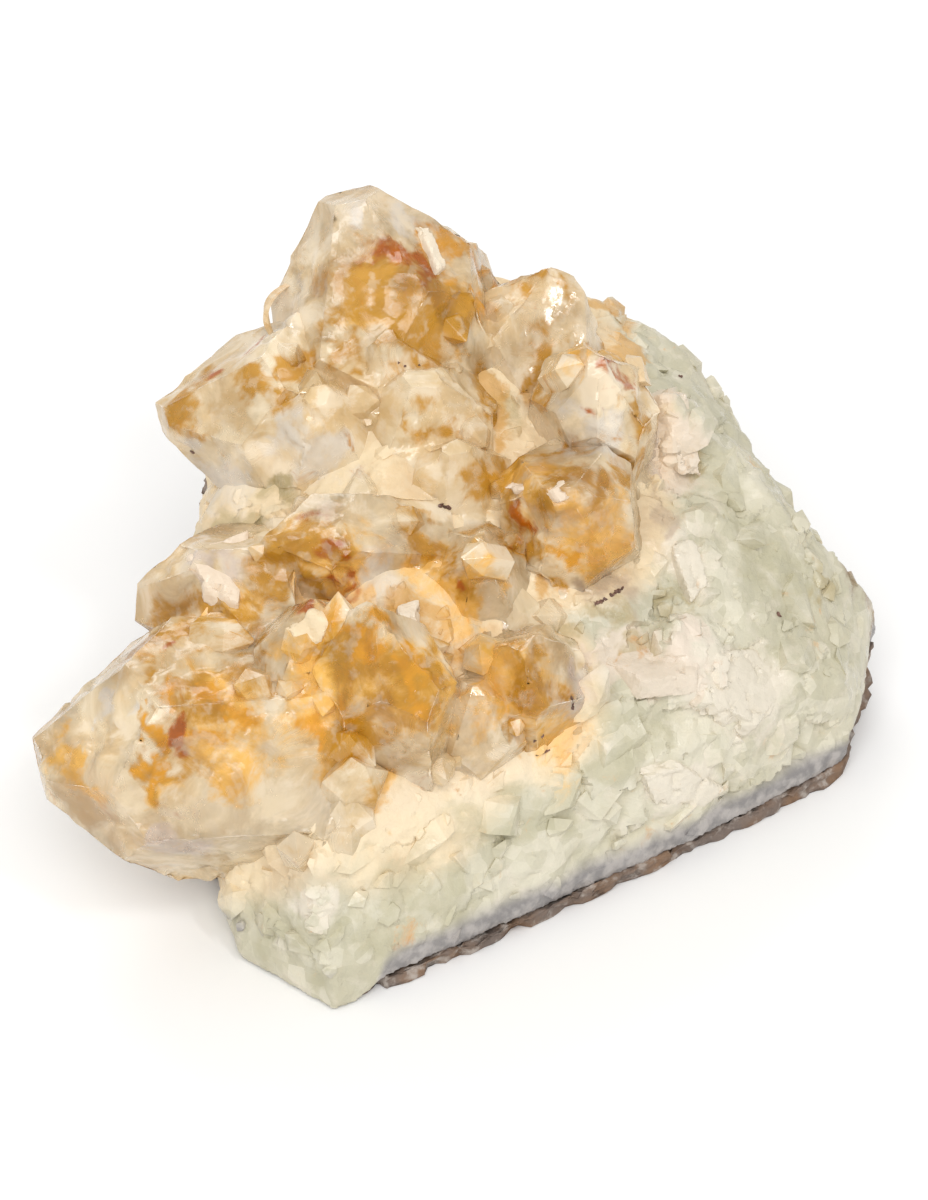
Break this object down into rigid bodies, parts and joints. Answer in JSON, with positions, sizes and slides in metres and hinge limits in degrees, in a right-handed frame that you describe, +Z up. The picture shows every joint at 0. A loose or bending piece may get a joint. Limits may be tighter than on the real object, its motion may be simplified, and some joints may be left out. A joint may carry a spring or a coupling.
{
  "type": "citrine specimen",
  "caption": "Broken piece of geode wall with amber citrine crystals on pale green massive quartz, a grey chalcedony band and a thin brown rock skin.",
  "frame": {"origin": "on the floor, under the middle of the specimen's box", "axes": "+Z up, +X to the right of the show side, +Y to the rear, where the wall curves up"},
  "size_m": [0.1112, 0.0994, 0.0701],
  "materials": {
    "citrine": "glassy crystal faces, milky inside, amber towards the tips; granular pale green quartz where broken",
    "host_rock": "matt, knobbly, brown"
  },
  "bodies": {
    "root": {"citrine_cluster": "citrine", "rock_rind": "host_rock"}
  },
  "joints": []
}
